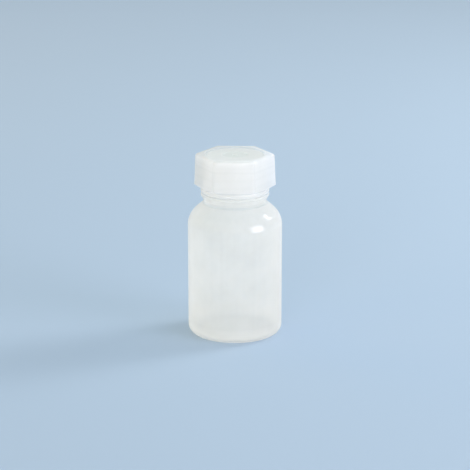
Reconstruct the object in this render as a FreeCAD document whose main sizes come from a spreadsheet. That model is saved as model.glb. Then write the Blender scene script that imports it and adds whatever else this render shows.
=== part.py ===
import FreeCAD, Part
import math
import os

import Sketcher

# Wide-neck round bottle of natural polyethylene with a hexagonal screw cap.
# Millimetres. +Z is up along the bottle's axis, the origin is the centre of
# the foot ring on the surface that the bottle stands on.

V = FreeCAD.Vector
doc = FreeCAD.newDocument("reagent_bottle")

# ---------------------------------------------------------------- dimensions
sheet = doc.addObject("Spreadsheet::Sheet", "dims")
DIMS = [
    # bottle body
    ("body_radius", 24.0, "outside radius of the round body"),
    ("wall", 1.1, "wall of the body, shoulder and throat"),
    ("base_corner", 4.5, "outside rounding between wall and foot"),
    ("foot_inner", 17.0, "inner radius of the ring that it stands on"),
    ("pushup_edge", 16.2, "radius where the push-up starts"),
    ("pushup_lip", 0.45, "height of the push-up at that radius"),
    ("pushup_top", 2.7, "height of the push-up at the axis"),
    ("base_wall", 1.2, "thickness of the base"),
    ("wall_top", 57.32, "height where the straight wall ends"),
    ("shoulder_arc_low", 10.4, "first shoulder rounding, next to the wall"),
    ("shoulder_mid_radius", 21.1958, "radius where the two shoulder roundings meet"),
    ("shoulder_mid_height", 64.4232, "height where the two shoulder roundings meet"),
    ("shoulder_arc_high", 28.92, "second shoulder rounding, next to the neck"),
    ("throat_mid_radius", 20.3925, "inside radius where the shoulder roundings meet"),
    ("throat_mid_height", 63.6719, "inside height where the shoulder roundings meet"),
    # neck
    ("neck_radius", 16.0, "outside radius of the neck root"),
    ("neck_foot", 68.81, "height where the shoulder meets the neck root"),
    ("throat_radius", 14.9, "inside radius of the blown throat"),
    ("throat_foot", 68.21, "inside height where the shoulder meets the throat"),
    ("collar_low", 70.4, "height where the collar starts to flare"),
    ("collar_radius", 17.4, "outside radius of the collar under the cap"),
    ("collar_full", 72.9, "height where the collar is full"),
    ("collar_step", 73.3, "height where the collar steps in"),
    ("collar_land", 73.75, "height where that step ends"),
    ("collar_upper", 16.95, "outside radius of the collar over the step"),
    ("collar_top", 74.4, "top face of the collar"),
    ("throat_top", 73.2, "inside height where the throat narrows"),
    ("bore_foot", 75.2, "inside height where the neck bore starts"),
    ("finish_radius", 14.8, "root radius of the threaded neck"),
    ("bore_radius", 13.3, "radius of the neck bore"),
    ("rim_height", 91.0, "sealing rim of the neck"),
    ("rim_round", 0.45, "rounding of the rim's edges"),
    ("root_round", 0.8, "rounding between shoulder and neck root"),
    ("flare_round", 1.2, "roundings of the collar's flare"),
    ("collar_edge_round", 0.2, "roundings of the collar's step and top edge"),
    # screw thread, right-hand
    ("pitch", 4.0, "rise of the thread in one turn"),
    ("thread_embed", 0.4, "how deep the ridge is rooted in its wall"),
    ("neck_thread_start", 78.6, "height of the neck ridge where it starts"),
    ("neck_thread_rise", 9.0, "rise of the neck ridge from end to end"),
    ("neck_ridge_half", 1.15, "half width of the neck ridge at its root"),
    ("neck_ridge_shoulder", 15.6, "radius where the neck ridge's crest begins"),
    ("neck_ridge_crest_half", 0.62, "half width of the neck ridge at its crest"),
    ("neck_ridge_crest", 15.9, "radius of the neck ridge's crest"),
    ("cap_thread_start", 76.95, "height of the cap ridge where it starts"),
    ("cap_thread_rise", 8.0, "rise of the cap ridge from end to end"),
    ("cap_ridge_half", 1.1, "half width of the cap ridge at its root"),
    ("cap_ridge_shoulder", 15.4, "radius where the cap ridge's crest begins"),
    ("cap_ridge_crest_half", 0.6, "half width of the cap ridge at its crest"),
    ("cap_ridge_crest", 15.1, "radius of the cap ridge's crest"),
    ("runout_step", 0.06, "step left at the end of a ridge's run-out"),
    ("runout_cutter", 10.0, "radius that hollows the ends of the cap's ridge"),
    # screw cap
    ("cap_bottom", 74.7, "lower edge of the cap"),
    ("cap_top", 94.0, "top of the cap"),
    ("hex_foot", 77.35, "underside of the hexagon"),
    ("hex_foot_corner", 20.923, "corner radius of the hexagon there, before bevel and rounding"),
    ("hex_draft", 2.2, "lean of the hexagon's flats, degrees"),
    ("under_radius", 17.9, "radius where the cone under the hexagon's corners starts"),
    ("under_slope", 0.18, "rise of that cone for each millimetre outwards"),
    ("hex_turn", -2.0, "turn of the hexagon about the axis, degrees"),
    ("hex_edge_round", 1.8, "rounding of the hexagon's upright edges"),
    ("hex_top_round", 1.5, "rounding of the hexagon's top edges"),
    ("skirt_radius", 17.4, "outside radius of the round skirt"),
    ("ring_top", 76.25, "height of the skirt's ring, under the groove"),
    ("ring_round", 0.45, "rounding of the ring's upper edge, depth of the groove"),
    ("skirt_rise", 3.4, "height of the skirt up to inside the hexagon"),
    ("skirt_edge_round", 0.4, "rounding of the skirt's lower edge"),
    ("cavity_radius", 16.2, "inside radius of the cap, root of its ridge"),
    ("cavity_lead", 0.35, "bevel at the mouth of the cap"),
    ("bead_low", 89.4, "height where the snap bead starts"),
    ("bead_radius", 15.2, "inside radius of the snap bead"),
    ("bead_from", 90.0, "lower edge of the snap bead's crest"),
    ("bead_to", 90.4, "upper edge of the snap bead's crest"),
    ("seat_radius", 16.0, "inside radius of the seat of the sealing disc"),
    ("seat_low", 90.9, "lower edge of that seat"),
    ("ceiling", 92.3, "inside height of the cap's top plate"),
    ("recess_radius", 15.0, "radius of the round recess in the cap's top"),
    ("recess_floor_radius", 14.4, "radius of the recess's floor"),
    ("recess_depth", 0.6, "depth of the recess"),
    ("gate_radius", 6.6, "radius of the shallow well round the gate mark"),
    ("gate_floor_radius", 6.0, "radius of the well's floor"),
    ("gate_depth", 0.3, "depth of the well"),
    ("gate_pip_radius", 1.3, "radius of the gate mark"),
    ("gate_pip_height", 0.25, "height of the gate mark over the well"),
    # sealing disc
    ("disc_radius", 15.6, "radius of the sealing disc"),
    ("disc_edge", 0.25, "bevel of the disc's edges"),
]
for row, (alias, value, note) in enumerate(DIMS, 1):
    sheet.set("A%d" % row, note)
    sheet.set("B%d" % row, repr(value))
    sheet.setAlias("B%d" % row, alias)
doc.recompute()


class Size:
    """A length together with the formula that ties it to the sheet."""

    def __init__(self, text, value):
        self.text, self.value = text, float(value)

    def _join(self, other, sign):
        if not isinstance(other, Size):
            other = Size(repr(float(other)), other)
        value = {
            "+": self.value + other.value,
            "-": self.value - other.value,
            "*": self.value * other.value,
            "/": self.value / other.value if other.value else 0.0,
        }[sign]
        return Size("(%s %s %s)" % (self.text, sign, other.text), value)

    def __add__(self, other):
        return self._join(other, "+")

    def __sub__(self, other):
        return self._join(other, "-")

    def __mul__(self, other):
        return self._join(other, "*")

    def __truediv__(self, other):
        return self._join(other, "/")


def dim(alias):
    return Size("dims." + alias, sheet.get(alias))


ZERO = Size("0", 0.0)


# ------------------------------------------------------------------- helpers
def plane(body, role):
    for feature in body.Origin.OriginFeatures:
        if feature.Role == role:
            return feature
    raise ValueError(role)


def sketch_on(body, name, role, lift=None, turn=None):
    """A sketch on one of the body's own origin planes, lifted along its normal."""
    sketch = body.newObject("Sketcher::SketchObject", name)
    sketch.AttachmentSupport = (plane(body, role), [""])
    sketch.MapMode = "FlatFace"
    if lift is not None:
        sketch.AttachmentOffset = FreeCAD.Placement(
            V(0, 0, lift.value), FreeCAD.Rotation(V(0, 0, 1), 0)
        )
        sketch.setExpression("AttachmentOffset.Base.z", lift.text)
    if turn is not None:
        placement = sketch.AttachmentOffset
        placement.Rotation = FreeCAD.Rotation(V(0, 0, 1), turn.value)
        sketch.AttachmentOffset = placement
        sketch.setExpression("AttachmentOffset.Rotation.Angle", turn.text)
    return sketch


def fix(sketch, geo, end, point):
    """Ties one end of a sketch element to the axes with lengths from the sheet."""
    for kind, axis, size in (("DistanceX", -2, point[0]), ("DistanceY", -1, point[1])):
        if abs(size.value) < 1e-9:
            sketch.addConstraint(Sketcher.Constraint("PointOnObject", geo, end, axis))
            continue
        if size.value > 0:
            c = Sketcher.Constraint(kind, -1, 1, geo, end, size.value)
        else:
            c = Sketcher.Constraint(kind, geo, end, -1, 1, -size.value)
        i = sketch.addConstraint(c)
        text = size.text if size.value > 0 else "-1 * %s" % size.text
        sketch.setExpression("Constraints[%d]" % i, text)


def outline(sketch, points):
    """A closed outline. Each point is (x, y) or (x, y, radius, side): with a
    radius the element that leaves the point is an arc of that radius whose
    centre lies on the left (+1) or right (-1) of the way to the next point."""
    n = len(points)
    ids = []
    for i, p in enumerate(points):
        q = points[(i + 1) % n]
        a = V(p[0].value, p[1].value, 0)
        b = V(q[0].value, q[1].value, 0)
        if len(p) == 2:
            ids.append((sketch.addGeometry(Part.LineSegment(a, b), False), 1, 2))
            continue
        radius, side = p[2].value, p[3]
        half = (b - a) * 0.5
        left = V(-half.y, half.x, 0).normalize()
        away = math.sqrt(max(radius * radius - half.Length * half.Length, 0.0))
        centre = a + half + left * (side * away)
        t0 = math.atan2(a.y - centre.y, a.x - centre.x)
        t1 = math.atan2(b.y - centre.y, b.x - centre.x)
        circle = Part.Circle(centre, V(0, 0, 1), radius)
        if side > 0:
            geo = sketch.addGeometry(Part.ArcOfCircle(circle, t0, t1), False)
            ids.append((geo, 1, 2))
        else:
            geo = sketch.addGeometry(Part.ArcOfCircle(circle, t1, t0), False)
            ids.append((geo, 2, 1))
        c = sketch.addConstraint(Sketcher.Constraint("Radius", geo, radius))
        sketch.setExpression("Constraints[%d]" % c, p[2].text)
    for i, (geo, start, end) in enumerate(ids):
        other, other_start, _ = ids[(i + 1) % n]
        sketch.addConstraint(
            Sketcher.Constraint("Coincident", geo, end, other, other_start)
        )
    for p, (geo, start, end) in zip(points, ids):
        fix(sketch, geo, start, p)
    return ids


def turned(body, kind, name, sketch):
    """A full turn of a sketch about the bottle's axis."""
    feature = body.newObject("PartDesign::" + kind, name)
    feature.Profile = sketch
    feature.ReferenceAxis = (sketch, ["V_Axis"])
    feature.Angle = 360.0
    doc.recompute()
    return feature


def rings(shape, wanted):
    """Names of the circular edges with these (radius, height) pairs."""
    names = []
    for radius, height in wanted:
        found = [
            "Edge%d" % (i + 1)
            for i, e in enumerate(shape.Edges)
            if not e.Degenerated
            and isinstance(e.Curve, Part.Circle)
            and abs(e.Curve.Radius - radius.value) < 0.01
            and abs(e.Curve.Center.z - height.value) < 0.01
        ]
        if not found:
            raise ValueError("no edge of radius %g at %g" % (radius.value, height.value))
        names += found
    return names


def rounded(body, name, base, edges, size):
    feature = body.newObject("PartDesign::Fillet", name)
    feature.Base = (base, edges)
    feature.Radius = size.value
    feature.setExpression("Radius", size.text)
    doc.recompute()
    return feature


def helix(body, name, sketch, rise):
    """Sweeps a ridge section up a right-hand helix about the bottle's axis."""
    feature = body.newObject("PartDesign::AdditiveHelix", name)
    feature.Profile = sketch
    feature.ReferenceAxis = (sketch, ["V_Axis"])
    feature.Mode = 0
    feature.Pitch = dim("pitch").value
    feature.Height = rise.value
    feature.setExpression("Pitch", dim("pitch").text)
    feature.setExpression("Height", rise.text)
    feature.Angle = 0
    feature.LeftHanded = False
    feature.Reversed = False
    doc.recompute()
    return feature


def cut_away(body, name, sketch, depth):
    """Cuts a sketch downwards by depth, and makes sure that it cut something."""
    before = body.Tip.Shape.Volume
    feature = body.newObject("PartDesign::Pocket", name)
    feature.Profile = sketch
    feature.Type = 0
    feature.Length = depth.value
    feature.setExpression("Length", depth.text)
    doc.recompute()
    if feature.Shape.isNull() or feature.Shape.Volume > before - 0.02:
        raise ValueError("%s cut nothing" % name)
    return feature


# -------------------------------------------------------------------- bottle
bottle = doc.addObject("PartDesign::Body", "bottle")
bottle.Label = "bottle"
R, wall, corner = dim("body_radius"), dim("wall"), dim("base_corner")
base_wall = dim("base_wall")


def dome(low_radius, low, top):
    """Radius of the shallow dome over a ring of that radius and rise."""
    rise = top - low
    return (low_radius * low_radius + rise * rise) / (rise * 2.0)


section = sketch_on(bottle, "bottle_section", "XZ_Plane")
outline(
    section,
    [
        # underside: push-up, foot ring, rounded corner
        (ZERO, dim("pushup_top"), dome(dim("pushup_edge"), dim("pushup_lip"), dim("pushup_top")), -1),
        (dim("pushup_edge"), dim("pushup_lip")),
        (dim("foot_inner"), ZERO),
        (R - corner, ZERO, corner, 1),
        (R, corner),
        # outside of the wall and shoulder
        (R, dim("wall_top"), dim("shoulder_arc_low"), 1),
        (dim("shoulder_mid_radius"), dim("shoulder_mid_height"), dim("shoulder_arc_high"), 1),
        # neck root, flared collar, threaded neck
        (dim("neck_radius"), dim("neck_foot")),
        (dim("neck_radius"), dim("collar_low")),
        (dim("collar_radius"), dim("collar_full")),
        (dim("collar_radius"), dim("collar_step")),
        (dim("collar_upper"), dim("collar_land")),
        (dim("collar_upper"), dim("collar_top")),
        (dim("finish_radius"), dim("collar_top")),
        (dim("finish_radius"), dim("rim_height")),
        # rim and bore, down the inside
        (dim("bore_radius"), dim("rim_height")),
        (dim("bore_radius"), dim("bore_foot")),
        (dim("throat_radius"), dim("throat_top")),
        (dim("throat_radius"), dim("throat_foot"), dim("shoulder_arc_high") - wall, -1),
        (dim("throat_mid_radius"), dim("throat_mid_height"), dim("shoulder_arc_low") - wall, -1),
        (R - wall, dim("wall_top")),
        (R - wall, corner, corner - wall, -1),
        (R - corner, wall),
        (dim("foot_inner"), wall),
        (
            dim("pushup_edge"),
            dim("pushup_lip") + base_wall,
            dome(dim("pushup_edge"), dim("pushup_lip") + base_wall, dim("pushup_top") + base_wall),
            1,
        ),
        (ZERO, dim("pushup_top") + base_wall),
    ],
)
doc.recompute()
blown = turned(bottle, "Revolution", "blown_wall", section)
soft_neck = rounded(
    bottle,
    "neck_root_round",
    blown,
    rings(blown.Shape, [(dim("neck_radius"), dim("neck_foot"))]),
    dim("root_round"),
)
soft_flare = rounded(
    bottle,
    "collar_flare_round",
    soft_neck,
    rings(
        soft_neck.Shape,
        [(dim("neck_radius"), dim("collar_low")), (dim("collar_radius"), dim("collar_full"))],
    ),
    dim("flare_round") * 0.9,
)
soft_collar = rounded(
    bottle,
    "collar_edge_round",
    soft_flare,
    rings(
        soft_flare.Shape,
        [(dim("collar_radius"), dim("collar_step")), (dim("collar_upper"), dim("collar_top"))],
    ),
    dim("collar_edge_round"),
)
soft_rim = rounded(
    bottle,
    "rim_round",
    soft_collar,
    rings(
        soft_collar.Shape,
        [(dim("finish_radius"), dim("rim_height")), (dim("bore_radius"), dim("rim_height"))],
    ),
    dim("rim_round"),
)
soft_throat = rounded(
    bottle,
    "throat_round",
    soft_rim,
    rings(
        soft_rim.Shape,
        [
            (dim("bore_radius"), dim("bore_foot")),
            (dim("throat_radius"), dim("throat_top")),
            (dim("throat_radius"), dim("throat_foot")),
        ],
    ),
    dim("root_round"),
)

# the neck's ridge: a rounded trapezium rooted in the neck, swept up the helix
ridge = sketch_on(bottle, "neck_ridge_section", "XZ_Plane")
mid = dim("neck_thread_start")
crest, shoulder = dim("neck_ridge_crest"), dim("neck_ridge_shoulder")
half, crest_half = dim("neck_ridge_half"), dim("neck_ridge_crest_half")
rise = crest - shoulder
crest_round = (crest_half * crest_half + rise * rise) / (rise * 2.0)
root = dim("finish_radius") - dim("thread_embed")
outline(
    ridge,
    [
        (root, mid - half),
        (dim("finish_radius"), mid - half),
        (shoulder, mid - crest_half, crest_round, 1),
        (shoulder, mid + crest_half),
        (dim("finish_radius"), mid + half),
        (root, mid + half),
    ],
)
doc.recompute()
neck_thread = helix(bottle, "neck_thread", ridge, dim("neck_thread_rise"))

# run-outs: flats that let the ridge's two ends sink into the neck
lowest = sketch_on(bottle, "neck_runout_low_sketch", "XY_Plane", lift=mid + dim("pitch") * 0.5)
near = dim("finish_radius") + dim("runout_step")
outline(
    lowest,
    [
        (near, Size("-2.0", -2.0)),
        (near + 3.0, Size("-2.0", -2.0)),
        (near + 3.0, Size("7.0", 7.0)),
        (near, Size("7.0", 7.0)),
    ],
)
doc.recompute()
cut_away(bottle, "neck_runout_low", lowest, dim("pitch") * 0.9)
highest = sketch_on(
    bottle,
    "neck_runout_high_sketch",
    "XY_Plane",
    lift=mid + dim("neck_thread_rise") + dim("pitch") * 0.45,
)
outline(
    highest,
    [
        (Size("-2.0", -2.0), near),
        (Size("7.0", 7.0), near),
        (Size("7.0", 7.0), near + 3.0),
        (Size("-2.0", -2.0), near + 3.0),
    ],
)
doc.recompute()
cut_away(bottle, "neck_runout_high", highest, dim("pitch") * 0.9)

# ----------------------------------------------------------------- screw cap
cap = doc.addObject("PartDesign::Body", "screw_cap")
cap.Label = "screw_cap"
bottom, top = dim("cap_bottom"), dim("cap_top")
minus = Size("-1", -1.0)


def hexagon(name, corner_r, height):
    """A level hexagon with two corners near the X axis, turned a little."""
    sketch = sketch_on(cap, name, "XY_Plane", lift=height, turn=dim("hex_turn"))
    side = corner_r * 0.5
    flat = corner_r * (math.sqrt(3.0) / 2.0)
    outline(
        sketch,
        [
            (corner_r, ZERO),
            (side, flat),
            (minus * side, flat),
            (minus * corner_r, ZERO),
            (minus * side, minus * flat),
            (side, minus * flat),
        ],
    )
    return sketch


# the hexagon's flats lean in towards the top
hex_foot = hexagon("hexagon_foot", dim("hex_foot_corner"), dim("hex_foot"))
doc.recompute()
block = cap.newObject("PartDesign::Pad", "hexagon_block")
block.Profile = hex_foot
block.Type = 0
block.Length = (top - dim("hex_foot")).value
block.setExpression("Length", (top - dim("hex_foot")).text)
doc.recompute()
sides = [
    "Face%d" % (i + 1) for i, f in enumerate(block.Shape.Faces) if f.BoundBox.ZLength > 1
]
foot_face = [
    "Face%d" % (i + 1)
    for i, f in enumerate(block.Shape.Faces)
    if f.BoundBox.ZMax < dim("hex_foot").value + 0.01
]
leaning = cap.newObject("PartDesign::Draft", "hexagon_draft")
leaning.Base = (block, sides)
leaning.NeutralPlane = (block, foot_face)
leaning.Angle = dim("hex_draft").value
leaning.setExpression("Angle", dim("hex_draft").text)
doc.recompute()


def edges_at(shape, height):
    """Names of the edges that lie level at this height."""
    return [
        "Edge%d" % (i + 1)
        for i, e in enumerate(shape.Edges)
        if abs(e.BoundBox.ZMin - height) < 0.01 and abs(e.BoundBox.ZMax - height) < 0.01
    ]


corners = [
    "Edge%d" % (i + 1)
    for i, e in enumerate(leaning.Shape.Edges)
    if e.BoundBox.ZLength > 0.5 * (top - dim("hex_foot")).value
]
soft_corners = rounded(cap, "hexagon_edge_round", leaning, corners, dim("hex_edge_round"))
soft_top = rounded(
    cap,
    "hexagon_top_round",
    soft_corners,
    edges_at(soft_corners.Shape, top.value),
    dim("hex_top_round"),
)

# a shallow cone takes off the corners under the hexagon, as on a nut
under = sketch_on(cap, "under_cone_section", "XZ_Plane")
start, foot = dim("under_radius"), dim("hex_foot")
outline(
    under,
    [
        (start, foot),
        (start, foot - 0.5),
        (start + 6.0, foot - 0.5),
        (start + 6.0, foot + dim("under_slope") * 6.0),
    ],
)
doc.recompute()
before = cap.Tip.Shape.Volume
coned = turned(cap, "Groove", "hexagon_under_cone", under)
if coned.Shape.Volume > before - 5:
    raise ValueError("the cone under the hexagon was not cut")

# round skirt, which the hexagon grows out of: a ring with soft edges and a
# narrow groove between it and the hexagon
skirt_section = sketch_on(cap, "skirt_section", "XZ_Plane")
skirt_r, soft = dim("skirt_radius"), dim("skirt_edge_round")
ring_top, ring_round = dim("ring_top"), dim("ring_round")
outline(
    skirt_section,
    [
        (ZERO, bottom),
        (skirt_r - soft, bottom, soft, 1),
        (skirt_r, bottom + soft),
        (skirt_r, ring_top - ring_round, ring_round, 1),
        (skirt_r - ring_round, ring_top),
        (skirt_r - ring_round, bottom + dim("skirt_rise")),
        (ZERO, bottom + dim("skirt_rise")),
    ],
)
doc.recompute()
skirt = turned(cap, "Revolution", "skirt", skirt_section)

# inside: threaded cavity, snap bead and seat of the sealing disc
cavity = sketch_on(cap, "cavity_section", "XZ_Plane")
outline(
    cavity,
    [
        (ZERO, bottom - 1.0),
        (dim("cavity_radius") + dim("cavity_lead"), bottom - 1.0),
        (dim("cavity_radius") + dim("cavity_lead"), bottom),
        (dim("cavity_radius"), bottom + dim("cavity_lead") * 2.0),
        (dim("cavity_radius"), dim("bead_low")),
        (dim("bead_radius"), dim("bead_from")),
        (dim("bead_radius"), dim("bead_to")),
        (dim("seat_radius"), dim("seat_low")),
        (dim("seat_radius"), dim("ceiling")),
        (ZERO, dim("ceiling")),
    ],
)
doc.recompute()
whole = cap.Tip.Shape.Volume
hollow = turned(cap, "Groove", "cavity", cavity)
if hollow.Shape.Volume > 0.6 * whole:
    raise ValueError("the cap's cavity was not cut")

# top: round recess with a shallow gate well
recess = sketch_on(cap, "top_recess_section", "XZ_Plane")
floor = top - dim("recess_depth")
well = floor - dim("gate_depth")
outline(
    recess,
    [
        (ZERO, well + dim("gate_pip_height")),
        (dim("gate_pip_radius"), well + dim("gate_pip_height")),
        (dim("gate_pip_radius") + 0.2, well),
        (dim("gate_floor_radius"), well),
        (dim("gate_radius"), floor),
        (dim("recess_floor_radius"), floor),
        (dim("recess_radius"), top),
        (dim("recess_radius"), top + 1.0),
        (ZERO, top + 1.0),
    ],
)
doc.recompute()
before = cap.Tip.Shape.Volume
dished = turned(cap, "Groove", "top_recess", recess)
if dished.Shape.Volume > before - 100:
    raise ValueError("the cap's recess was not cut")

# the cap's ridge, which runs just under the neck's
inner_ridge = sketch_on(cap, "cap_ridge_section", "XZ_Plane")
mid = dim("cap_thread_start")
crest, shoulder = dim("cap_ridge_crest"), dim("cap_ridge_shoulder")
half, crest_half = dim("cap_ridge_half"), dim("cap_ridge_crest_half")
rise = shoulder - crest
crest_round = (crest_half * crest_half + rise * rise) / (rise * 2.0)
root = dim("cavity_radius") + dim("thread_embed")
outline(
    inner_ridge,
    [
        (root, mid - half),
        (root, mid + half),
        (dim("cavity_radius"), mid + half),
        (shoulder, mid + crest_half, crest_round, 1),
        (shoulder, mid - crest_half),
        (dim("cavity_radius"), mid - half),
    ],
)
doc.recompute()
cap_thread = helix(cap, "cap_thread", inner_ridge, dim("cap_thread_rise"))


def hollow_end(name, lift, depth, along):
    """Hollows one end of the cap's ridge so that it runs out into the wall."""
    sketch = sketch_on(cap, name + "_sketch", "XY_Plane", lift=lift)
    radius = dim("runout_cutter")
    away = dim("cavity_radius") - dim("runout_step") - radius
    centre = (away, ZERO) if along == "x" else (ZERO, away)
    sketch.addGeometry(
        Part.Circle(V(centre[0].value, centre[1].value, 0), V(0, 0, 1), radius.value),
        False,
    )
    c = sketch.addConstraint(Sketcher.Constraint("Radius", 0, radius.value))
    sketch.setExpression("Constraints[%d]" % c, radius.text)
    fix(sketch, 0, 3, centre)
    doc.recompute()
    cut_away(cap, name, sketch, depth)


hollow_end("cap_runout_low", mid + dim("pitch") * 0.5, dim("pitch") * 0.8, "x")
hollow_end(
    "cap_runout_high",
    mid + dim("cap_thread_rise") + dim("pitch") * 0.45,
    dim("pitch") * 0.9,
    "x",
)

# -------------------------------------------------------------- sealing disc
disc = doc.addObject("PartDesign::Body", "sealing_disc")
disc.Label = "sealing_disc"
disc_section = sketch_on(disc, "disc_section", "XZ_Plane")
r, e = dim("disc_radius"), dim("disc_edge")
low, high = dim("rim_height"), dim("ceiling")
outline(
    disc_section,
    [
        (ZERO, low),
        (r - e, low),
        (r, low + e),
        (r, high - e),
        (r - e, high),
        (ZERO, high),
    ],
)
doc.recompute()
turned(disc, "Revolution", "disc_block", disc_section)

# ---------------------------------------------------------------- write files
doc.recompute()
for thing in doc.Objects:
    if "Invalid" in thing.State or "Error" in thing.State:
        raise RuntimeError("%s failed: %s" % (thing.Name, thing.State))
os.makedirs("parts", exist_ok=True)
for body in (bottle, cap, disc):
    shape = body.Shape
    if shape.isNull() or not shape.isValid() or len(shape.Solids) != 1:
        raise RuntimeError("%s is not one sound solid" % body.Label)
    print(
        "%s: %.2f cm3, %d faces, box %s"
        % (body.Label, shape.Volume / 1000.0, len(shape.Faces), shape.BoundBox)
    )
for body in (bottle, cap, disc):
    body.Shape.exportStep("parts/%s.step" % body.Label)
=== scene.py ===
import math

import bpy
import numpy as np
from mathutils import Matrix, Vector


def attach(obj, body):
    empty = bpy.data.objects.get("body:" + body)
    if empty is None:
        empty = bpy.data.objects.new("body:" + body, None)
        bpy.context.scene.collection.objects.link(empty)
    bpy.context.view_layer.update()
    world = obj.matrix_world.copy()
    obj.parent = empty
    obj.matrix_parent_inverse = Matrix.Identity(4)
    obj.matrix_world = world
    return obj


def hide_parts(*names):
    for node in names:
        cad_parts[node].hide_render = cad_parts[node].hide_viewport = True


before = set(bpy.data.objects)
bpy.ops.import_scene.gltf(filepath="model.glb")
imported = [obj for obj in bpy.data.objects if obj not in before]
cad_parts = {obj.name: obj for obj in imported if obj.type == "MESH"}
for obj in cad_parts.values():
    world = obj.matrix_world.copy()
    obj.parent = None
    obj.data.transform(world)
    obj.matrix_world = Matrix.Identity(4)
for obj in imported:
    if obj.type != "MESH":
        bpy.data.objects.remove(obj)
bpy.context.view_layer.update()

MM = 0.001
PITCH = 4.0  # rise of the screw thread in one turn, mm


# ---------------------------------------------------------------- sections

def arc(cx, cz, radius, start, end, count):
    """Points along an arc, angles in degrees, both ends included."""
    turn = np.radians(np.linspace(start, end, count))
    return [(cx + radius * math.cos(t), cz + radius * math.sin(t)) for t in turn]


def line(a, b, count):
    """Points after a, up to and including b."""
    return [
        (a[0] + (b[0] - a[0]) * k / count, a[1] + (b[1] - a[1]) * k / count)
        for k in range(1, count + 1)
    ]


def corner(before, at, after, radius, count=5):
    """The rounding of a corner of a section, as points."""
    p0, p1, p2 = (np.array(p, float) for p in (before, at, after))
    u = (p0 - p1) / np.linalg.norm(p0 - p1)
    v = (p2 - p1) / np.linalg.norm(p2 - p1)
    half = math.acos(max(-1.0, min(1.0, float(u @ v)))) / 2
    back = radius / math.tan(half)
    middle = (u + v) / np.linalg.norm(u + v)
    centre = p1 + middle * radius / math.sin(half)
    a, b = p1 + u * back - centre, p1 + v * back - centre
    whole = math.acos(max(-1.0, min(1.0, float(a @ b) / radius**2)))
    points = []
    for k in range(count):
        t = k / (count - 1)
        w = (math.sin((1 - t) * whole) * a + math.sin(t * whole) * b) / math.sin(whole)
        points.append(tuple(centre + w))
    return points


def soft_path(points):
    """A section from (r, z) or (r, z, rounding) points."""
    path = []
    for k, p in enumerate(points):
        if len(p) == 3 and 0 < k < len(points) - 1:
            path += corner(points[k - 1][:2], p[:2], points[k + 1][:2], p[2])
        else:
            path.append(tuple(p[:2]))
    return path


def ease(t):
    t = np.clip(t, 0.0, 1.0)
    return t * t * (3 - 2 * t)


def ridge(theta, z, start, rise, half, crest_half, shoulder, crest, fade):
    """Height of a right-hand screw ridge over its root, at angles theta and heights z."""
    height = np.zeros(np.broadcast(theta, z).shape)
    last = 2 * math.pi * rise / PITCH
    for turn in range(-1, 4):
        along = theta + 2 * math.pi * turn
        off = np.abs(z - start - PITCH * along / (2 * math.pi))
        flank = shoulder * np.clip((half - off) / (half - crest_half), 0, 1)
        top = (crest - shoulder) * np.clip(1 - (off / crest_half) ** 2, 0, 1)
        ends = ease(along / fade) * ease((last - along) / fade)
        height = np.maximum(height, (flank + top) * ends)
    return height


# ------------------------------------------------------------------ meshes

def woven(name, rings, theta):
    """A closed skin over rings of points. A ring with one point is a pole."""
    points, starts = [], []
    for ring in rings:
        starts.append(sum(len(p) for p in points))
        points.append(ring)
    co = np.concatenate(points) * MM
    n = len(theta)
    after = np.roll(np.arange(n), -1)
    quads, fans = [], []
    for a, b, sa, sb in zip(rings, rings[1:], starts, starts[1:]):
        if len(a) == 1:
            fans += [(sa, sb + int(after[k]), sb + k) for k in range(n)]
        elif len(b) == 1:
            fans += [(sa + k, sa + int(after[k]), sb) for k in range(n)]
        else:
            quads += [
                (sa + k, sa + int(after[k]), sb + int(after[k]), sb + k)
                for k in range(n)
            ]
    mesh = bpy.data.meshes.new(name)
    mesh.from_pydata(co.tolist(), [], fans + quads)
    mesh.update()
    tri = []
    for f in fans + quads:
        tri.append((f[0], f[1], f[2]))
        if len(f) == 4:
            tri.append((f[0], f[2], f[3]))
    t = np.array(tri)
    volume = np.einsum("ij,ij->i", co[t[:, 0]], np.cross(co[t[:, 1]], co[t[:, 2]])).sum() / 6
    if volume < 0:
        mesh.flip_normals()
    mesh.polygons.foreach_set("use_smooth", [True] * len(mesh.polygons))
    mesh.set_sharp_from_angle(angle=math.radians(38))
    mesh.update()
    piece = bpy.data.objects.new(name, mesh)
    bpy.context.scene.collection.objects.link(piece)
    return piece


def spun(r, z, theta):
    """A ring of points from radii and heights at the angles theta."""
    r, z = np.broadcast_to(r, theta.shape), np.broadcast_to(z, theta.shape)
    return np.stack([r * np.cos(theta), r * np.sin(theta), z], 1)


# ------------------------------------------------------------------ bottle

def angles_with_lines(count, offsets):
    """Even angles, with more beside the mould's two parting lines at +X and -X."""
    even = np.linspace(0, 2 * math.pi, count, endpoint=False)
    near = [s * o / 24.0 for o in offsets for s in (-1, 1)]
    extra = [x for x in near] + [math.pi + x for x in near]
    every = np.sort(np.mod(np.concatenate([even, extra]), 2 * math.pi))
    keep = [every[0]]
    for x in every[1:]:
        if x - keep[-1] > 0.0012:
            keep.append(x)
    return np.array(keep)


def wave(theta, z):
    """Slow unevenness of a blown wall, from 0 to 1."""
    return 0.5 + 0.5 * (
        0.42 * np.sin(3 * theta + 0.070 * z + 0.6)
        + 0.33 * np.sin(5 * theta - 0.115 * z + 2.1)
        + 0.25 * np.sin(2 * theta + 0.190 * z + 4.0)
    )


def parting(theta, r):
    """Height of the parting line's fine ridge, from 0 to 1."""
    off = np.minimum(np.abs(np.mod(theta + math.pi / 2, math.pi) - math.pi / 2), 1.0) * r
    return np.exp(-((off / 0.17) ** 2))


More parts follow.
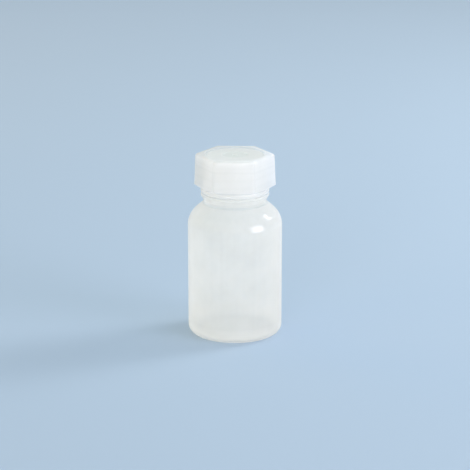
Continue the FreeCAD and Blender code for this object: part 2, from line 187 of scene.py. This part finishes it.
def make_bottle():
    theta = angles_with_lines(210, (0.09, 0.18, 0.30, 0.46))
    rings = []

    def dome(r, top):
        radius = (16.2**2 + 2.25**2) / (2 * 2.25)
        return top - radius + math.sqrt(radius**2 - r**2)

    def weld(r, z):
        # the pinched-off seam across the base, along the parting plane
        y, x = r * np.sin(theta), np.abs(r * np.cos(theta))
        return z - 0.42 * np.exp(-((y / 0.55) ** 4)) * ease((13.2 - x) / 1.6)

    # push-up, from its middle to the foot
    rings.append(np.array([[0, 0, 2.7 - 0.42]]))
    for r in (0.35, 0.7, 1.1, 1.6, 2.3, 3.2, 4.3, 5.5, 6.8, 8.2, 9.6, 11.0, 11.8, 12.6, 13.3, 14.2, 15.2, 15.9):
        rings.append(spun(r, weld(r, dome(r, 2.7)), theta))
    foot = soft_path([(15.9, dome(15.9, 2.7)), (16.2, 0.45, 0.35), (17.0, 0.0, 0.5), (19.5, 0.0)])[1:]
    for r, z in foot:
        rings.append(spun(r, z, theta))
    # rounded base edge, wall and shoulder
    low = arc(19.5, 4.5, 4.5, -90, 0, 13)[1:]
    wall = line((24.0, 4.5), (24.0, 57.32), 34)
    high = arc(13.6, 57.32, 10.4, 0, 43.08, 14)[1:]
    slope = arc(0.0732, 44.669, 28.92, 43.08, 55.66, 9)[1:]
    for r, z in low + wall + high + slope:
        share = ease((z - 2.5) / 4) * ease((66.5 - z) / 6)
        skin = r - share * (0.055 - 0.05 * parting(theta, r) + 0.03 * wave(theta, z))
        rings.append(spun(skin, z, theta))
    # neck root and collar
    t = math.radians(56.58)
    before = (16.0 + math.sin(t), 68.81 - math.cos(t))
    root = corner(before, (16.0, 68.81), (16.0, 70.4), 0.8, 6)
    collar = soft_path(
        [(16.0, 69.3), (16.0, 70.4, 1.2), (17.4, 72.9, 0.9), (17.4, 73.32, 0.15), (16.97, 73.72, 0.12), (16.97, 74.4, 0.2), (16.3, 74.4)]
    )[1:]
    for r, z in root + collar:
        rings.append(spun(r - 0.03 + 0.03 * parting(theta, r), z, theta))
    rings.append(spun(15.2, 74.4, theta))
    for r, z in corner((15.4, 74.4), (14.8, 74.4), (14.8, 75.4), 0.3, 4):
        rings.append(spun(r, z, theta))
    # threaded neck
    for z in np.arange(74.85, 90.4, 0.135):
        up = ridge(theta, z, 78.6, 9.0, 1.15, 0.62, 0.8, 1.1, 0.5)
        rings.append(spun(14.8 + up, z, theta))
    # rim
    for r, z in soft_path([(14.8, 90.4), (14.8, 91.0, 0.45), (13.3, 91.0, 0.45), (13.3, 90.3)])[1:]:
        rings.append(spun(r, z, theta))
    # bore, throat and the inside of the wall
    inner = soft_path([(13.3, 90.3), (13.3, 75.2, 0.6), (14.9, 73.2, 0.6), (14.9, 69.2)])[1:-1]
    bore = line((13.3, 90.3), (13.3, 75.6), 12)
    for r, z in bore + inner:
        rings.append(spun(r, z, theta))
    t = math.radians(57.8)
    after = (14.9 + math.sin(t), 68.21 - math.cos(t))
    for r, z in corner((14.9, 70.0), (14.9, 68.21), after, 0.8, 5):
        rings.append(spun(r, z, theta))
    slope = arc(0.0732, 44.669, 27.82, 56.9, 43.08, 9)[1:]
    high = arc(13.6, 57.32, 9.3, 43.08, 0, 12)[1:]
    wall = line((22.9, 57.32), (22.9, 4.5), 34)
    low = arc(19.5, 4.5, 3.4, 0, -90, 10)[1:]
    for r, z in slope + high + wall + low:
        share = ease((z - 2.5) / 4) * ease((66.5 - z) / 6)
        rings.append(spun(r + share * 0.10 * (wave(theta + 1.3, z * 0.8) - 0.4), z, theta))
    for r, z in soft_path([(19.0, 1.1), (17.0, 1.1, 0.5), (16.2, 1.65, 0.6), (15.4, dome(15.4, 3.9))])[1:]:
        rings.append(spun(r, z, theta))
    for r in (14.0, 12.5, 11.0, 9.5, 8.0, 6.5, 5.0, 3.6, 2.4, 1.3, 0.6):
        rings.append(spun(r, dome(r, 3.9), theta))
    rings.append(np.array([[0, 0, 3.9]]))
    return woven("bottle_wall", rings, theta)


# --------------------------------------------------------------- screw cap

HEX_TURN = math.radians(-2.0)
LEAN = math.tan(math.radians(2.2))
FOOT_FLAT = 21.03 * math.cos(math.radians(30))  # distance of the flats from the axis at the foot


def from_corner(theta):
    """Angle from the nearest corner of the hexagon, never negative."""
    sixth = math.pi / 3
    return np.abs(np.mod(theta - HEX_TURN + sixth / 2, sixth) - sixth / 2)


def hexagon(theta, flat, rounding):
    """Radius at angles theta of a hexagon with rounded corners."""
    off = from_corner(theta)
    third = math.radians(30)
    middle = (flat - rounding) / math.cos(third)
    reach = np.arctan2(rounding * 0.5, middle + rounding * math.cos(third))
    inside = np.maximum(rounding**2 - (middle * np.sin(off)) ** 2, 0)
    return np.where(
        off <= reach,
        middle * np.cos(off) + np.sqrt(inside),
        flat / np.cos(third - off),
    )


def make_cap():
    offs = [0, 0.22, 0.45, 0.75, 1.1, 1.5, 1.95, 2.35, 2.75, 3.4]
    offs += list(np.arange(4.6, 29.9, 1.45))
    local = sorted({-o for o in offs} | set(offs))
    theta = np.mod(
        np.radians([60 * k + o for k in range(6) for o in local]) + HEX_TURN, 2 * math.pi
    )
    theta = np.sort(theta)
    rings = [np.array([[0, 0, 93.35]])]
    # gate mark, its well and the recess in the top
    top = soft_path(
        [
            (0.6, 93.35), (1.3, 93.35, 0.1), (1.36, 93.1, 0.06), (6.0, 93.1, 0.2), (6.6, 93.4, 0.2),
            (14.4, 93.4, 0.22), (15.0, 94.0, 0.22), (15.6, 94.0),
        ]
    )[:-1]
    extra = []
    for a, b in zip(top, top[1:]):
        extra.append(a)
        gap = b[0] - a[0]
        if gap > 1.5:
            extra += line(a, b, int(gap / 1.2))[:-1]
    for r, z in extra + top[-1:]:
        rings.append(spun(r, z, theta))
    # land around the recess, rounded top edge and the flats
    heart = FOOT_FLAT - 17.5 * LEAN - 1.5 / math.cos(math.radians(2.2))
    edge = hexagon(theta, heart, 0.3)
    start = top[-1][0]
    for t in (0.45, 1.0):
        rings.append(spun(start + (edge - start) * t, 94.0, theta))
    for t in np.radians(np.linspace(90, 2.2, 9)[1:]):
        flat = heart + 1.5 * math.cos(t)
        rounding = max(0.3, 0.3 + 1.5 * math.cos(t))
        rings.append(spun(hexagon(theta, flat, rounding), 92.5 + 1.5 * math.sin(t), theta))
    for z in np.linspace(92.0, 79.0, 14):
        rings.append(spun(hexagon(theta, FOOT_FLAT - (z - 75) * LEAN, 1.8), z, theta))
    # the flats end on a shallow cone, as on a nut, with a softened edge
    reach = hexagon(theta, FOOT_FLAT - 2.5 * LEAN, 1.8)
    brink = 77.35 + 0.18 * (reach - 17.9)
    for t in (0.5, 1.0):
        rings.append(spun(reach, 79.0 + (brink + 0.28 - 79.0) * t, theta))
    for t in np.radians(np.linspace(0, 74, 5)[1:]):
        rings.append(spun(reach - 0.22 * (1 - math.cos(t)), brink + 0.28 - 0.28 * math.sin(t), theta))
    inner = reach - 0.16
    for t in (0.35, 0.7, 1.0):
        r = inner + (17.9 - inner) * t
        rings.append(spun(r, 77.35 + 0.18 * (r - 17.9), theta))
    # underside, groove, ring of the skirt, its lower edge and the mouth of the cap
    mouth = soft_path(
        [
            (17.6, 77.35), (16.97, 77.35, 0.15), (16.97, 76.25, 0.15), (17.05, 76.23, 0.04), (17.4, 75.95, 0.3), (17.4, 75.3),
            (17.4, 74.7, 0.3), (16.55, 74.7, 0.1), (16.2, 75.05, 0.1), (16.2, 75.6),
        ]
    )[:-1]
    for r, z in mouth:
        rings.append(spun(r, z, theta))
    # cavity with its screw ridge
    for z in np.arange(75.2, 89.3, 0.15):
        up = ridge(theta, z, 76.95, 8.0, 1.1, 0.6, 0.8, 1.1, 0.5)
        rings.append(spun(16.2 - up, z, theta))
    # snap bead, seat of the sealing disc and ceiling
    roof = soft_path(
        [
            (16.2, 89.2), (16.2, 89.4, 0.1), (15.2, 90.0, 0.2), (15.2, 90.4, 0.2), (16.0, 90.9, 0.15),
            (16.0, 92.3, 0.15), (14.5, 92.3),
        ]
    )[1:]
    for r, z in roof + [(12.0, 92.3), (9.0, 92.3), (6.0, 92.3), (3.0, 92.3)]:
        rings.append(spun(r, z, theta))
    rings.append(np.array([[0, 0, 92.3]]))
    return woven("cap_shell", rings, theta)


# ------------------------------------------------------------ sealing disc

def make_disc():
    theta = np.linspace(0, 2 * math.pi, 192, endpoint=False)
    low, high = 91.03, 92.26  # a hair of room under the ceiling and over the rim
    path = soft_path(
        [
            (14.8, low), (15.35, low, 0.1), (15.6, low + 0.25, 0.1), (15.6, high - 0.25, 0.1),
            (15.35, high, 0.1), (14.8, high),
        ]
    )
    rings = [np.array([[0, 0, low]])]
    rings += [spun(r, low, theta) for r in (2, 4, 6, 8, 10, 12, 13.3)]
    rings += [spun(r, z, theta) for r, z in path]
    rings += [spun(r, high, theta) for r in (12, 10, 8, 6, 4, 2)]
    rings.append(np.array([[0, 0, high]]))
    return woven("seal_disc", rings, theta)


# --------------------------------------------------------------- materials

class Nodes:
    """A material's node tree, with short ways to add to it."""

    def __init__(self, name):
        self.mat = bpy.data.materials.new(name)
        self.mat.use_nodes = True
        self.tree = self.mat.node_tree
        self.tree.nodes.clear()
        self.out = self.tree.nodes.new("ShaderNodeOutputMaterial")

    def add(self, kind, **sockets):
        node = self.tree.nodes.new(kind)
        for key, value in sockets.items():
            name = key.replace("_", " ")
            if isinstance(value, bpy.types.NodeSocket):
                self.tree.links.new(value, node.inputs[name])
            else:
                node.inputs[name].default_value = value
        return node

    def place(self, scale=(1, 1, 1)):
        coord = self.tree.nodes.new("ShaderNodeTexCoord")
        return self.add("ShaderNodeMapping", Vector=coord.outputs["Object"], Scale=scale).outputs[0]

    def noise(self, scale, detail=2.0, rough=0.5, stretch=(1, 1, 1)):
        node = self.add(
            "ShaderNodeTexNoise", Vector=self.place(stretch), Scale=scale, Detail=detail, Roughness=rough
        )
        return node.outputs[0]

    def along(self, axis):
        """A coordinate of the piece itself, in metres."""
        coord = self.tree.nodes.new("ShaderNodeTexCoord")
        split = self.tree.nodes.new("ShaderNodeSeparateXYZ")
        self.tree.links.new(coord.outputs["Object"], split.inputs[0])
        return split.outputs[axis]

    def ramp(self, value, low, high, at=(0.3, 0.7)):
        """Colours from low to high as value goes from at[0] to at[1]."""
        node = self.tree.nodes.new("ShaderNodeValToRGB")
        a, b = node.color_ramp.elements
        a.position, b.position = at
        a.color, b.color = (*low, 1), (*high, 1)
        self.tree.links.new(value, node.inputs[0])
        return node.outputs[0]

    def span(self, value, low, high, at=(0.3, 0.7)):
        """Numbers from low to high as value goes from at[0] to at[1]."""
        node = self.tree.nodes.new("ShaderNodeMapRange")
        for key, number in zip(("From Min", "From Max", "To Min", "To Max"), (*at, low, high)):
            node.inputs[key].default_value = number
        self.tree.links.new(value, node.inputs["Value"])
        return node.outputs["Result"]

    def mix(self, factor, a, b, blend="MIX"):
        node = self.tree.nodes.new("ShaderNodeMix")
        node.data_type, node.blend_type = "RGBA", blend
        for socket, value in zip((node.inputs[0], node.inputs[6], node.inputs[7]), (factor, a, b)):
            if isinstance(value, bpy.types.NodeSocket):
                self.tree.links.new(value, socket)
            else:
                socket.default_value = value if isinstance(value, float) else (*value, 1)
        return node.outputs[2]

    def bump(self, height, strength, distance, normal=None):
        node = self.add("ShaderNodeBump", Height=height, Strength=strength, Distance=distance)
        if normal is not None:
            self.tree.links.new(normal, node.inputs["Normal"])
        return node.outputs[0]

    def maths(self, kind, *values):
        node = self.tree.nodes.new("ShaderNodeMath")
        node.operation = kind
        for socket, value in zip(node.inputs, values):
            if isinstance(value, bpy.types.NodeSocket):
                self.tree.links.new(value, socket)
            else:
                socket.default_value = value
        return node.outputs[0]

    def blend(self, factor, a, b):
        """Two shaders mixed, with b's share given by factor."""
        node = self.tree.nodes.new("ShaderNodeMixShader")
        for socket, source in zip(node.inputs, (factor, a, b)):
            self.tree.links.new(source, socket)
        return node.outputs[0]

    def finish(self, shader):
        self.tree.links.new(shader, self.out.inputs["Surface"])
        return self.mat


def poly(name, body, glow, rough, back, clear, streaks, grain, crease_shades, step_shades=(), thread=None, heel_shade=None):
    """Natural polyethylene: a milky film that turns some light back, passes most of it scattered and a little of it
    straight, under a satin skin.
    crease_shades are bands (from, to, beyond this radius, colour) of painted shade along narrow grooves and gaps;
    step_shades are rings (from, to this radius, above this height, colour) of painted shade on a top face; thread
    (start, top, beyond this radius, colour) is a band of painted shade along the screw ridge on the inside, where the
    wall is thicker; heel_shade is a ring of painted shade inside, where wall and base meet."""
    n = Nodes(name)
    cloud = n.noise(55.0, 3.0, 0.55)
    fine = n.noise(1700.0, 2.0, 0.6)
    drawn = n.noise(330.0, 3.0, 0.6, stretch=(1, 1, 0.02))
    uneven = n.mix(0.45 * streaks, n.ramp(cloud, (0, 0, 0), (1, 1, 1)), n.ramp(drawn, (0, 0, 0), (1, 1, 1)))
    skin = n.mix(0.5, n.ramp(fine, (0, 0, 0), (1, 1, 1)), n.ramp(cloud, (0, 0, 0), (1, 1, 1)))
    wavy = n.bump(cloud, 0.16 * streaks, 0.0010)
    lined = n.bump(drawn, 0.05 * streaks, 0.0003, wavy)
    peel = n.bump(fine, grain, 0.00004, lined)
    returning, passing = n.ramp(uneven, *body, at=(0.0, 1.0)), n.ramp(uneven, *glow, at=(0.0, 1.0))
    x, y, z = n.along("X"), n.along("Y"), n.along("Z")
    across = n.maths("SQRT", n.maths("MULTIPLY_ADD", x, x, n.maths("MULTIPLY", y, y)))
    # painted shade: darker bands along narrow grooves and gaps
    for low, high, beyond, painted_shade in crease_shades:
        within = n.maths(
            "MULTIPLY",
            n.span(z, 0.0, 1.0, (low - 0.00025, low + 0.00025)),
            n.span(z, 1.0, 0.0, (high - 0.00025, high + 0.00025)),
        )
        share = n.maths("MULTIPLY", within, n.span(across, 0.0, 1.0, (beyond - 0.0002, beyond + 0.0002)))
        returning, passing = n.mix(share, returning, painted_shade), n.mix(share, passing, painted_shade)
    # painted shade: darker rings on the top face, at the edge of a recess and in the well
    for start, end, above, painted_shade in step_shades:
        within = n.maths(
            "MULTIPLY",
            n.span(across, 0.0, 1.0, (start - 0.00025, start + 0.00025)),
            n.span(across, 1.0, 0.0, (end - 0.00025, end + 0.00025)),
        )
        share = n.maths("MULTIPLY", within, n.span(z, 0.0, 1.0, (above - 0.0002, above)))
        returning, passing = n.mix(share, returning, painted_shade), n.mix(share, passing, painted_shade)
    # painted shade: a darker band along the inside screw ridge, standing for the thicker wall seen through
    if thread:
        start, top, beyond, painted_shade = thread
        turned = n.maths("MULTIPLY", n.maths("ARCTAN2", y, x), 0.5 / math.pi)
        climbed = n.maths("MULTIPLY", n.maths("SUBTRACT", z, start), 1000.0 / PITCH)
        phase = n.maths("FRACT", n.maths("ADD", n.maths("SUBTRACT", climbed, turned), 5.5))
        off = n.maths("ABSOLUTE", n.maths("SUBTRACT", phase, 0.5))
        within = n.maths("MULTIPLY", n.span(z, 0.0, 1.0, (start, start + 0.001)), n.span(z, 1.0, 0.0, (top - 0.001, top)))
        share = n.maths("MULTIPLY", within, n.maths("MULTIPLY", n.span(off, 1.0, 0.0, (0.08, 0.24)), n.span(across, 0.0, 1.0, (beyond - 0.0002, beyond + 0.0002))))
        returning, passing = n.mix(share, returning, painted_shade), n.mix(share, passing, painted_shade)
    # painted shade: a darker ring in the inside corner of wall and base
    if heel_shade:
        out, up, inside, painted_shade = heel_shade
        off, over = n.maths("SUBTRACT", across, out), n.maths("SUBTRACT", z, up)
        away = n.maths("SQRT", n.maths("MULTIPLY_ADD", off, off, n.maths("MULTIPLY", over, over)))
        near = n.span(away, 1.0, 0.0, (inside, inside + 0.0004))
        low = n.maths("MULTIPLY", n.span(over, 1.0, 0.0, (-0.0026, -0.0008)), n.span(off, 0.0, 1.0, (-0.0014, 0.0002)))
        share = n.maths("MULTIPLY", near, low)
        returning, passing = n.mix(share, returning, painted_shade), n.mix(share, passing, painted_shade)
        # the colour is warmer towards the bottom
        lower = n.span(z, 0.9, 0.0, (0.001, 0.030))
        passing = n.mix(lower, passing, (0.999, 0.988, 0.955))
        returning = n.mix(lower, returning, (0.997, 0.985, 0.950))
    returned = n.add("ShaderNodeBsdfDiffuse", Color=returning, Normal=peel)
    passed = n.add("ShaderNodeBsdfTranslucent", Color=passing, Normal=peel)
    straight = n.add("ShaderNodeBsdfTransparent", Color=(0.99, 0.99, 0.985, 1))
    shine = n.add("ShaderNodeBsdfGlossy", Color=(1, 1, 1, 1), Roughness=n.span(skin, *rough, (0.2, 0.8)), Normal=peel)
    film = n.blend(n.span(uneven, back[0], back[1], (0.0, 1.0)), passed.outputs[0], returned.outputs[0])
    slant = n.add("ShaderNodeLayerWeight", Blend=0.5, Normal=peel).outputs["Facing"]
    # a slanting look passes through more of the film
    veil = n.maths("MULTIPLY_ADD", n.maths("POWER", slant, 2.0), -0.75, 1.0)
    seen = n.maths("MULTIPLY", n.span(uneven, clear[0], clear[1], (0.0, 1.0)), veil)
    if heel_shade:
        thick = n.maths("MULTIPLY", n.span(z, 0.70, 1.0, (0.002, 0.008)), n.span(z, 0.86, 1.0, (0.004, 0.026)))
        seen = n.maths("MULTIPLY", seen, thick)
    film = n.blend(seen, film, straight.outputs[0])
    rise = n.maths("MULTIPLY_ADD", n.maths("POWER", slant, 5.0), 0.25, 0.04)
    return n.finish(n.blend(rise, film, shine.outputs[0]))


bottle_mat = poly(
    "natural_pe_blown",
    ((0.965, 0.97, 0.965), (0.985, 0.99, 0.985)),
    ((0.982, 0.979, 0.953), (0.993, 0.991, 0.973)),
    (0.08, 0.13), (0.16, 0.20), (0.63, 0.57), 0.5, 0.05,
    # painted shade: dark bands at the gap above the collar and at the neck root
    crease_shades=((0.07385, 0.07450, 0.0162, (0.82, 0.85, 0.87)), (0.0685, 0.0696, 0.0156, (0.84, 0.88, 0.895))),
    # painted shade: a darker ring inside, where wall and base meet
    heel_shade=(0.0195, 0.0045, 0.0036, (0.78, 0.83, 0.79)),
)
cap_mat = poly(
    "natural_pe_moulded",
    ((0.969, 0.970, 0.972), (0.984, 0.985, 0.986)),
    ((0.984, 0.984, 0.983), (0.993, 0.993, 0.993)),
    (0.18, 0.27), (0.26, 0.32), (0.48, 0.44), 0.2, 0.05,
    # painted shade: a dark band in the groove under the hexagon, and two faint painted shade lines across the flats
    # near the top
    crease_shades=((0.07640, 0.07730, 0.0166, (0.85, 0.86, 0.885)), (0.08745, 0.08850, 0.0166, (0.953, 0.956, 0.957)), (0.08985, 0.09040, 0.0166, (0.965, 0.967, 0.967))),
    # painted shade: a dark ring at the edge of the recess in the top, and the well darkened
    step_shades=((0.0141, 0.0150, 0.0929, (0.86, 0.89, 0.885)), (-0.001, 0.0063, 0.0927, (0.93, 0.95, 0.94))),
    # painted shade along the screw ridge inside the cap
    thread=(0.07695, 0.0872, 0.0166, (0.966, 0.968, 0.966)),
)


def foam():
    n = Nodes("foamed_pe")
    cells = n.add("ShaderNodeTexVoronoi", Vector=n.place(), Scale=2600.0)
    cloud = n.noise(260.0, 3.0)
    colour = n.mix(0.4, n.ramp(cells.outputs["Distance"], (0.80, 0.80, 0.78), (0.93, 0.93, 0.92), (0.0, 0.6)), n.ramp(cloud, (0.86, 0.86, 0.85), (0.94, 0.94, 0.93)))
    p = n.add(
        "ShaderNodeBsdfPrincipled",
        Base_Color=colour,
        Roughness=n.span(cells.outputs["Distance"], 0.5, 0.7, (0.0, 0.6)),
        Normal=n.bump(cells.outputs["Distance"], 0.25, 0.0001),
        Subsurface_Weight=0.6,
        Subsurface_Radius=(1.0, 0.95, 0.9),
        Subsurface_Scale=0.0015,
    )
    return n.finish(p.outputs[0])


disc_mat = foam()

bottle, cap, disc = make_bottle(), make_cap(), make_disc()
for piece, mat, node, body, slot in (
    (bottle, bottle_mat, "bottle", "bottle", "bottle_wall"),
    (cap, cap_mat, "screw_cap", "cap", "cap"),
    (disc, disc_mat, "sealing_disc", "seal", "disc"),
):
    piece.data.materials.append(mat)
    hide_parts(node)
    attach(piece, body)


# ------------------------------------------------------------------- stage

def make_floor():
    """A wide round floor."""
    theta = np.linspace(0, 2 * math.pi, 128, endpoint=False)
    radii = (0.25, 0.6, 1.2, 2.4, 4.8, 9.0)
    rings = [np.array([[0, 0, 0.0]])] + [spun(r, 0.0, theta) for r in radii]
    n = len(theta)
    co = np.concatenate(rings)
    faces = [(0, 1 + k, 1 + (k + 1) % n) for k in range(n)]
    for ring in range(len(radii) - 1):
        a, b = 1 + ring * n, 1 + (ring + 1) * n
        faces += [(a + k, b + k, b + (k + 1) % n, a + (k + 1) % n) for k in range(n)]
    mesh = bpy.data.meshes.new("studio_floor")
    mesh.from_pydata(co.tolist(), [], faces)
    mesh.polygons.foreach_set("use_smooth", [True] * len(mesh.polygons))
    floor = bpy.data.objects.new("studio_floor", mesh)
    bpy.context.scene.collection.objects.link(floor)
    n = Nodes("studio_paper")
    p = n.add(
        "ShaderNodeBsdfPrincipled",
        Base_Color=n.mix(
            0.05,
            # painted light: the floor is painted lighter towards the back, to even out how the lamps fall off over it
            n.ramp(n.span(n.along("Y"), 0.0, 1.0, (-0.2, 1.0)), (0.454, 0.563, 0.700), (0.543, 0.674, 0.842), (0.0, 1.0)),
            n.ramp(n.noise(6.0, 2.0), (0.460, 0.590, 0.740), (0.500, 0.620, 0.770)),
        ),
        Roughness=0.9,
        Specular_IOR_Level=0.1,
    )
    floor.data.materials.append(n.finish(p.outputs[0]))


make_floor()


def softbox(name, azimuth, elevation, distance, size, power, colour=(1, 1, 1), aim=(0, 0, 0.055)):
    """A soft area light. Azimuth 0 is the camera's side and 90 the right."""
    a, e = math.radians(azimuth), math.radians(elevation)
    aim = Vector(aim)
    light = bpy.data.lights.new(name, "AREA")
    light.shape, light.size, light.size_y = "RECTANGLE", *size
    light.energy, light.color = power, colour
    ob = bpy.data.objects.new(name, light)
    ob.location = aim + distance * Vector((math.sin(a) * math.cos(e), -math.cos(a) * math.cos(e), math.sin(e)))
    ob.rotation_euler = (aim - ob.location).to_track_quat("-Z", "Y").to_euler()
    ob.visible_camera = False
    bpy.context.scene.collection.objects.link(ob)
    return ob


def panel(name, azimuth, elevation, distance, size, brightness, colour):
    """A softbox whose face is so many times as bright as white paper."""
    return softbox(name, azimuth, elevation, distance, size, brightness * math.pi * size[0] * size[1], colour)


panel("key_box", 57, 11.5, 1.1, (0.60, 0.56), 5.15, (0.955, 0.92, 1.0))
panel("back_box", 115, 33, 1.1, (0.20, 0.32), 6.5, (1.0, 0.99, 0.97))
# the panels that only fill in leave no highlight of their own
for fill in (
    panel("right_box", 115, 33, 1.2, (0.50, 0.50), 4.4, (1.0, 0.965, 0.90)),
    panel("fill_box", -60, 18, 1.3, (0.70, 0.70), 0.55, (1.0, 0.55, 0.03)),
    panel("left_box", -125, 14, 1.2, (0.55, 0.60), 1.2, (1.0, 0.50, 0.02)),
    panel("front_box", -15, 3, 1.5, (0.60, 0.30), 20.6, (1.0, 0.895, 0.830)),
    panel("top_box", 0, 88, 1.3, (1.0, 1.0), 0.86, (0.02, 0.60, 1.0)),
):
    fill.visible_glossy = False


def make_sky():
    """Even light from above, a little warmer on the left than on the right, that fades into the floor's colour at the horizon."""
    world = bpy.data.worlds.new("studio")
    bpy.context.scene.world = world
    world.use_nodes = True
    tree = world.node_tree
    coord = tree.nodes.new("ShaderNodeTexCoord")
    split = tree.nodes.new("ShaderNodeSeparateXYZ")
    side = tree.nodes.new("ShaderNodeMapRange")
    tint = tree.nodes.new("ShaderNodeValToRGB")
    side.inputs["From Min"].default_value, side.inputs["From Max"].default_value = -1.0, 1.0
    left, right = tint.color_ramp.elements
    left.color, right.color = (0.640, 0.628, 0.490, 1), (0.618, 0.630, 0.705, 1)
    tree.links.new(coord.outputs["Generated"], split.inputs[0])
    tree.links.new(split.outputs["X"], side.inputs["Value"])
    tree.links.new(side.outputs["Result"], tint.inputs[0])
    height = tree.nodes.new("ShaderNodeMapRange")
    height.inputs["From Min"].default_value, height.inputs["From Max"].default_value = 0.0, 0.13
    tree.links.new(split.outputs["Z"], height.inputs["Value"])
    fade = tree.nodes.new("ShaderNodeMix")
    fade.data_type = "RGBA"
    fade.inputs[6].default_value = (0.330, 0.420, 0.520, 1)
    tree.links.new(height.outputs["Result"], fade.inputs[0])
    tree.links.new(tint.outputs[0], fade.inputs[7])
    back = tree.nodes["Background"]
    tree.links.new(fade.outputs[2], back.inputs[0])
    back.inputs[1].default_value = 1.0


make_sky()

look = bpy.context.scene
look.view_settings.view_transform = "Standard"
look.view_settings.look = "None"
# light has to cross several milky walls before it gets out again
look.cycles.max_bounces = 32
look.cycles.diffuse_bounces = 24
look.cycles.glossy_bounces = 8
look.cycles.transmission_bounces = 16
look.cycles.transparent_max_bounces = 32


# ------------------------------------------------------------------ camera

ELEVATION, DISTANCE = math.radians(16.0), 0.9625
target = Vector((0.0, 0, 0.05117))
cam = bpy.data.objects.new("camera", bpy.data.cameras.new("camera"))
cam.data.sensor_width = 36.0
cam.data.lens = 36.0 * 1888 / 470
cam.location = target + DISTANCE * Vector((0, -math.cos(ELEVATION), math.sin(ELEVATION)))
cam.rotation_euler = (target - cam.location).to_track_quat("-Z", "Y").to_euler()
cam.data.clip_start, cam.data.clip_end = 0.01, 50
bpy.context.scene.collection.objects.link(cam)
bpy.context.scene.camera = cam
